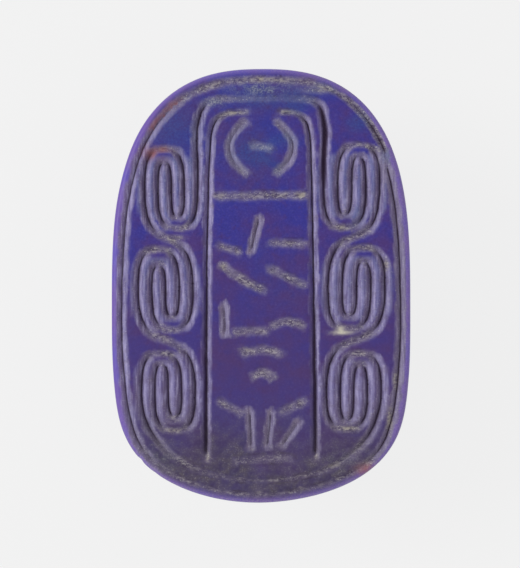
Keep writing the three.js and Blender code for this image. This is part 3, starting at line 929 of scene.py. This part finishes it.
def paint_masks(piece, table):
    """Stores where the stone is cut, stained, worn and scuffed, and where light and shade are painted on the
    flanks, in the slits and along the rim.
    """
    face = Face(piece, table)
    matt = matt_cuts(face)
    rim = rim_light(face)
    chipped = face.top * spots(face.flat, CHIP_SPOTS)
    scuffed = face.top * (spots(face.flat, SCUFF_SPOTS) + 0.3 * spots(face.flat, PITTED_SPOTS))
    # Matt cuts, the painted shade in the slits and seams, and soil.
    paint(piece, "carving", matt, dark_lines(face), soiled(face, matt))
    paint(piece, "stains", tail_film(face, matt, rim), teal_clouds(face), rust_stains(face, matt))
    # Chips, the painted light and shade on the flanks, and the painted light along the rim.
    paint(piece, "chips_and_painted_light", chipped, right_flanks(face), rim)
    paint(piece, "scuffs", scuffed, grey_cuts(face), tan_soil(face, matt))


# ---- material ----

def linear(value):
    """Linear light of an sRGB value of 0 to 255."""
    value = value / 255
    return value / 12.92 if value <= 0.04045 else ((value + 0.055) / 1.055) ** 2.4


def palette(**tints):
    """Named colours, given as sRGB values."""
    return {name: (*map(linear, tint), 1.0) for name, tint in tints.items()}


STONE = palette(
    violet=(67, 45, 115), blue=(49, 45, 135), deep_blue=(42, 42, 130), plum=(68, 42, 104),
    teal=(40, 66, 132), pale=(96, 88, 150), dark=(40, 30, 84), brown=(72, 50, 90),
)
# Rim colours: violet and blue are the stone painted lighter for the light along the rounded rim; frost is the
# rim's own frosted grey.
LIT_RIM = palette(violet=(106, 82, 162), blue=(96, 80, 172), frost=(146, 130, 170))
# The cut colours left and right are shaded and lit copies: painted shade on the left flanks, a little browner
# too, and painted light on the right ones.
CUT = palette(
    left=(108, 94, 128), right=(138, 131, 172), light_streak=(164, 156, 194),
    dark_streak=(84, 72, 120), dull=(98, 84, 110), grey=(104, 95, 104),
    soil=(102, 93, 109), dark_grain=(64, 52, 84), light_grain=(160, 153, 158),
    # slit is painted shade at the bottom of the deep cuts, with some dark deposit.
    tan=(158, 150, 140), teal=(90, 108, 150), fleck=(196, 192, 192), slit=(48, 29, 56),
)
STAIN = palette(
    dark_film=(56, 49, 74), light_film=(80, 72, 80), grey_film=(88, 84, 100),
    speck=(116, 110, 122), dark_scuff=(72, 80, 112), pale_scuff=(140, 144, 152),
    rust=(146, 86, 80), chip=(190, 184, 170),
)


class Shader:
    """Short names for building a node material."""

    def __init__(self, name):
        self.material = bpy.data.materials.new(name)
        self.material.use_nodes = True
        self.tree = self.material.node_tree
        self.tree.nodes.clear()

    def node(self, kind, inputs=None, **settings):
        """A node with its settings, and with inputs that are sockets or constants."""
        made = self.tree.nodes.new("ShaderNode" + kind)
        for name, value in settings.items():
            setattr(made, name, value)
        for name, value in (inputs or {}).items():
            if isinstance(value, bpy.types.NodeSocket):
                self.tree.links.new(value, made.inputs[name])
            else:
                made.inputs[name].default_value = value
        return made

    def math(self, operation, a, b, clamp=False):
        return self.node("Math", {0: a, 1: b}, operation=operation, use_clamp=clamp).outputs[0]

    def stretched(self, where, per_mm):
        """A place multiplied by so many units per mm along each axis."""
        scale = tuple(count * PER_MM for count in per_mm)
        return self.node("VectorMath", {0: where, 1: scale}, operation="MULTIPLY").outputs[0]

    def noise(self, where, scale, detail, roughness=0.55):
        inputs = {"Vector": where, "Scale": scale, "Detail": detail, "Roughness": roughness}
        return self.node("TexNoise", inputs).outputs["Fac"]

    def band(self, value, start, end, low=0.0, high=1.0):
        """A value that goes from low at start to high at end."""
        inputs = {"Value": value, "From Min": start, "From Max": end, "To Min": low, "To Max": high}
        return self.node("MapRange", inputs, clamp=True).outputs["Result"]

    def mix(self, share, a, b):
        """Colour a at a share of 0, colour b at 1."""
        return self.node("Mix", {"Factor": share, 6: a, 7: b}, data_type="RGBA").outputs[2]

    def over(self, base, tint, share, *more):
        """A tint laid over a base by the product of one or more shares."""
        for factor in more:
            share = self.math("MULTIPLY", share, factor)
        return self.mix(share, base, tint)

    def layered(self, base, tints, layers):
        """Tints laid over a base. A layer is a tint's name, its mask, and the band that breaks it up."""
        for name, mask, *band in layers:
            base = self.over(base, tints[name], mask, self.band(*band))
        return base

    def masks(self, name):
        read = self.node("Attribute", attribute_type="GEOMETRY", attribute_name=name)
        return self.node("SeparateColor", {0: read.outputs["Color"]}).outputs[:3]

    def finished(self, surface):
        self.node("OutputMaterial", {"Surface": surface.outputs[0]})
        return self.material


class Stone(Shader):
    """Lapis lazuli, with its masks and with noises from large to small."""

    def __init__(self):
        super().__init__("lapis_lazuli")
        self.place = self.node("TexCoord").outputs["Object"]
        self.matt, self.slit, self.soil = self.masks("carving")
        self.film, self.teal, self.rust = self.masks("stains")
        # Chips, the flanks' painted light and shade, and the rim's painted light.
        self.chip, self.right_flank, self.rim = self.masks("chips_and_painted_light")
        self.scuff, self.grey, self.tan = self.masks("scuffs")
        self.clouds = self.noise(self.place, 0.45 * PER_MM, 3.0)
        self.fine = self.noise(self.place, 2.4 * PER_MM, 4.0)
        self.grain = self.noise(self.place, 11 * PER_MM, 2.0)
        self.speck = self.noise(self.place, 15 * PER_MM, 2.0, 0.6)

    def polished(self):
        """Polished stone: violet blue, clouded bluer and browner, and with painted light along the rim."""
        stone = self.mix(self.band(self.clouds, 0.4, 0.6), STONE["violet"], STONE["blue"])
        axes = self.node("SeparateXYZ", {0: self.place})
        stone = self.layered(stone, STONE, [
            ("deep_blue", 1.0, self.fine, 0.5, 0.72, 0, 0.6),
            ("plum", 1.0, self.fine, 0.46, 0.3, 0, 0.5),
            ("teal", self.teal, self.grain, 0.3, 0.7, 0.3, 0.8),
            ("pale", 1.0, self.grain, 0.54, 0.78, 0, 0.28),
            ("dark", 1.0, self.grain, 0.46, 0.25, 0, 0.4),
            ("brown", 1.0, axes.outputs["Y"], 3 * MM, -4 * MM, 0, 0.5),
        ])
        # Painted light along the rim, with the rim's own frost on it.
        rim = self.mix(self.band(self.clouds, 0.45, 0.62), LIT_RIM["violet"], LIT_RIM["blue"])
        rim = self.layered(rim, LIT_RIM, [("frost", self.grey, self.speck, 0.4, 0.62, 0.2, 0.8)])
        return self.over(stone, rim, self.rim, 0.9)

    def cut(self):
        """Cut stone: lavender grey, with painted shade on the left flanks, which are a little browner too,
        and painted light on the right ones, streaked, and grainy where soil fills it.
        """
        streak = self.noise(self.stretched(self.place, (10, 0.9, 3)), 1.0, 3.0)
        scratch = self.noise(self.stretched(self.place, (3.8, 7.5, 3)), 1.0, 4.0, 0.65)
        clean = self.band(self.soil, 0.25, 0.0)
        flecked = self.band(self.soil, 0.05, 0.5, 0.3, 0.75)
        # Painted light and shade on the flanks: the lit colour on the right flanks, the shaded one on the
        # left.
        return self.layered(self.mix(self.right_flank, CUT["left"], CUT["right"]), CUT, [
            ("light_streak", clean, streak, 0.5, 0.68, 0, 0.7),
            ("dark_streak", clean, streak, 0.5, 0.32, 0, 0.7),
            ("dull", 1.0, self.fine, 0.5, 0.3, 0, 0.45),
            ("grey", self.grey, self.fine, 0.3, 0.6, 0.35, 0.75),
            ("soil", self.soil, self.speck, 0.35, 0.6, 0.5, 0.95),
            ("dark_grain", self.soil, scratch, 0.5, 0.42, 0, 0.8),
            ("light_grain", self.soil, scratch, 0.5, 0.6, 0, 0.8),
            ("tan", self.tan, scratch, 0.42, 0.54, 0.15, 0.9),
            ("teal", self.teal, self.speck, 0.35, 0.65, 0.3, 0.7),
            ("fleck", flecked, self.speck, 0.58, 0.7),
        ])

    def stained(self, surface):
        """The surface with its brownish film, scuffs, rusty stains and one bright chip."""
        film = self.mix(self.band(self.fine, 0.34, 0.66), STAIN["dark_film"], STAIN["light_film"])
        film = self.layered(film, STAIN, [("grey_film", 1.0, self.grain, 0.5, 0.7, 0, 0.45)])
        scuffed = self.mix(self.band(self.speck, 0.42, 0.62), STAIN["dark_scuff"], STAIN["pale_scuff"])
        patchy = self.math("MULTIPLY", self.film, self.band(self.fine, 0.45, 0.6, 0, 0.7))
        surface = self.layered(surface, {**STAIN, "film": film, "scuffed": scuffed}, [
            ("film", self.film, self.fine, 0.3, 0.7, 0.75, 0.95),
            ("speck", patchy, self.speck, 0.56, 0.66),
            ("scuffed", self.scuff, self.fine, 0.4, 0.55, 0.15, 0.75),
            ("rust", self.rust, self.fine, 0.3, 0.6, 0.45, 0.85),
        ])
        return self.over(surface, STAIN["chip"], self.chip)

    def skinned(self, surface):
        """Glossy where the stone is polished, matt and finely pitted where it is cut."""
        polish = self.band(self.fine, 0.3, 0.7, 0.34, 0.46)
        roughness = self.math("ADD", polish, self.math("MULTIPLY", self.matt, 0.45), clamp=True)
        pits = self.noise(self.place, 7 * PER_MM, 5.0, 0.7)
        height = self.math("MULTIPLY", pits, self.math("ADD", self.matt, 0.12))
        bump = self.node("Bump", {"Height": height, "Distance": 0.03 * MM, "Strength": 0.9}).outputs[0]
        inputs = {"Base Color": surface, "Roughness": roughness, "Normal": bump}
        shine = self.node("BsdfPrincipled", inputs)
        shine.inputs["IOR"].default_value = 1.5
        shine.inputs["Specular IOR Level"].default_value = 0.25
        return shine


def stone_material():
    """Polished stone, cut stone over it, the dark slits with their painted shade, and then the stains."""
    stone = Stone()
    surface = stone.over(stone.polished(), stone.cut(), stone.matt)
    # Painted shade, with some dark deposit, in the slits.
    surface = stone.over(surface, CUT["slit"], stone.slit, 0.95)
    return stone.finished(stone.skinned(stone.stained(surface)))


# ---- the amulet ----

def amulet():
    lines = engraved_lines()
    table = worn(lines)
    piece = base_plate(lines, table)
    combine(piece, beetle(), "UNION")
    combine(piece, bore(), "DIFFERENCE")
    triangulated(piece)
    paint_masks(piece, table)
    piece.name = piece.data.name = "carved_scarab"
    piece.data.materials.clear()
    piece.data.materials.append(stone_material())
    piece.data.polygons.foreach_set("use_smooth", [True] * len(piece.data.polygons))
    piece.data.transform(Matrix.Scale(MM, 4))
    piece.data.update()
    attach(piece, "root")
    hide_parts("scarab")


# ---- studio, in metres ----

FLOOR_HALF = 0.5
FLOOR_GREY, FLOOR_ROUGHNESS, FLOOR_GLOW = 0.05, 0.9, 0.815
SKY_STRENGTH = 0.72
KEY_PLACE, KEY_WATTS, KEY_SIZE = (-0.28, 0.07, 0.25), 0.75, 0.16
# Sensor and lens in mm, the camera's place, and the frame's height at the engraved face.
SENSOR, LENS = 36, 110
CAMERA_X, CAMERA_Y = -0.05 * MM, 0.06 * MM
VIEW_HEIGHT = 26.15 * MM
WHITE = (1, 1, 1, 1)


def pale_floor():
    """Glowing floor, so that the ground is as pale as the photo's."""
    half = FLOOR_HALF
    floor = mesh_object("floor", [(-half, -half, 0), (half, -half, 0), (half, half, 0), (-half, half, 0)],
                        [(0, 1, 2, 3)])
    shader = Shader("pale_floor")
    lit = shader.node("BsdfPrincipled", {
        "Base Color": (FLOOR_GREY, FLOOR_GREY, FLOOR_GREY, 1), "Roughness": FLOOR_ROUGHNESS,
        "Emission Color": WHITE, "Emission Strength": FLOOR_GLOW,
    })
    floor.data.materials.append(shader.finished(lit))
    return floor


def sky():
    world = bpy.data.worlds.new("studio")
    scene.world = world
    world.use_nodes = True
    background = world.node_tree.nodes["Background"]
    background.inputs["Color"].default_value = WHITE
    background.inputs["Strength"].default_value = SKY_STRENGTH


def lamp(name, place, watts, size):
    data = bpy.data.lights.new(name, "AREA")
    data.energy = watts
    data.size = size
    made = bpy.data.objects.new(name, data)
    made.location = place
    made.rotation_euler = (-Vector(place)).to_track_quat("-Z", "Y").to_euler()
    scene.collection.objects.link(made)


def camera():
    data = bpy.data.cameras.new("camera")
    data.sensor_width = SENSOR
    data.lens = LENS
    data.clip_start = 0.001
    data.clip_end = 10
    made = bpy.data.objects.new("camera", data)
    distance = VIEW_HEIGHT * LENS / SENSOR
    made.location = (CAMERA_X, CAMERA_Y, HEIGHT * MM + distance)
    scene.collection.objects.link(made)
    scene.camera = made


def studio():
    scene.view_settings.view_transform = "Standard"
    floor = pale_floor()
    sky()
    lamp("key", KEY_PLACE, KEY_WATTS, KEY_SIZE)
    camera()


studio()
amulet()
